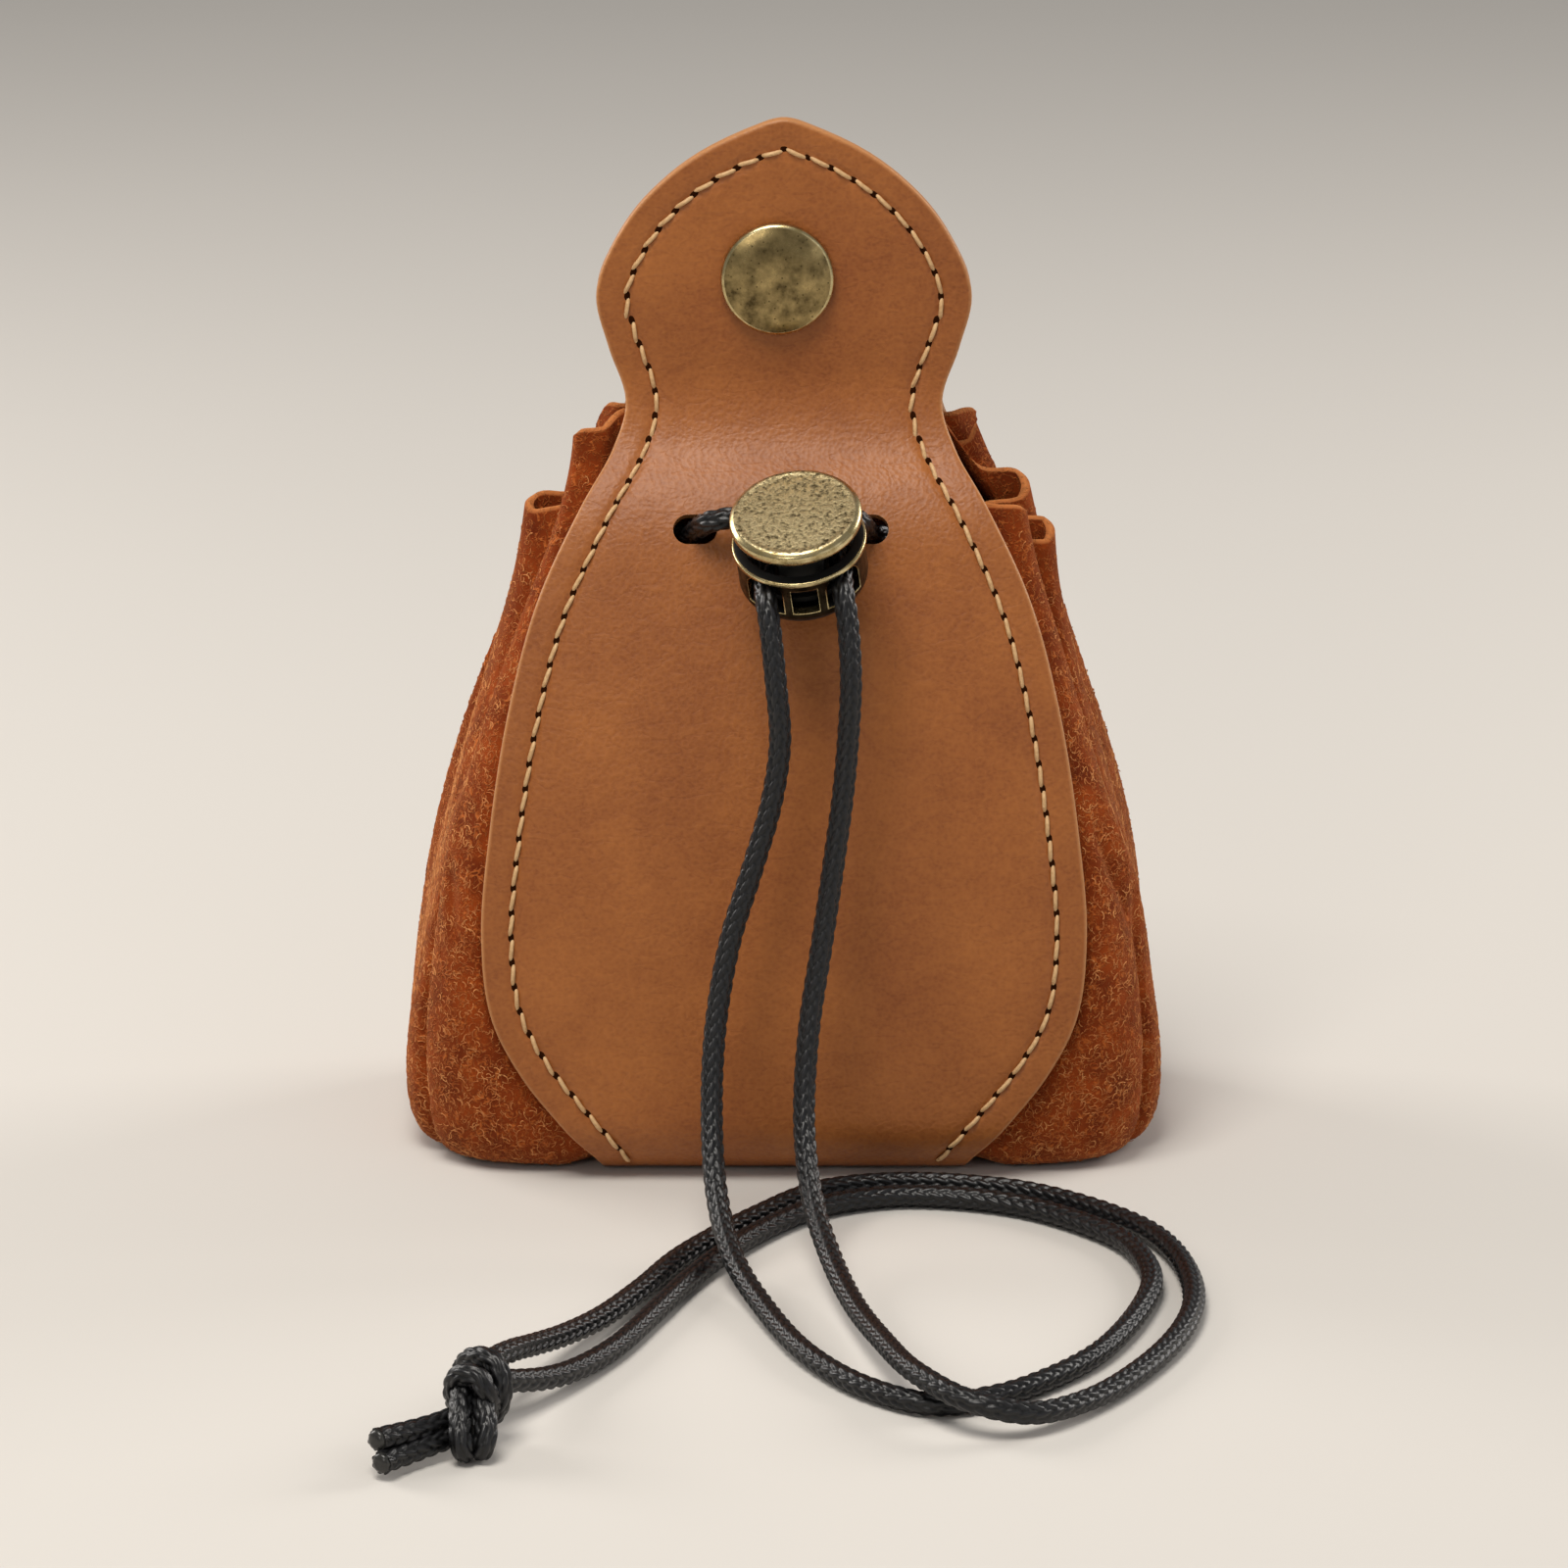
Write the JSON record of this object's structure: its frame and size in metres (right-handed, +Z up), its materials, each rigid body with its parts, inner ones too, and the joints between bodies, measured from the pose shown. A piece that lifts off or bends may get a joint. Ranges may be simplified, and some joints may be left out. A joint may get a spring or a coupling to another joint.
{
  "type": "dice bag",
  "caption": "Drawstring pouch for dice: a stitched leather strap snapped over a gathered suede bag, with a brass cord lock and a knotted black drawstring.",
  "frame": {"origin": "middle of the strap's flat underside, where the bag stands", "axes": "+Z up to the snapped heads, -Y out of the front panel towards the cord lock, +X to the right seen from the front"},
  "size_m": [0.1037, 0.1575, 0.1382],
  "materials": {
    "tan_leather": "smooth tan leather, satin",
    "rust_suede": "rough rust-orange suede",
    "antique_brass": "antique brass plating, mottled",
    "black_cord": "waxed round braid"
  },
  "bodies": {
    "bag": {"strap": "tan_leather", "suede_body": "rust_suede", "snap_cap": "antique_brass", "snap_post": "antique_brass", "lock_barrel": "antique_brass", "drawstring_loop": "black_cord", "cord_left": "black_cord", "cord_right": "black_cord", "cord_knot": "black_cord"},
    "lock_button": {"lock_button": "antique_brass"}
  },
  "joints": [
    {"name": "button_press", "type": "slide", "parent": "bag", "child": "lock_button", "axis": [0.1086, 0.454, -0.8844], "range_m": [0, 0.002], "stiffness_N_per_m": 200, "springref_m": -0.02}
  ]
}
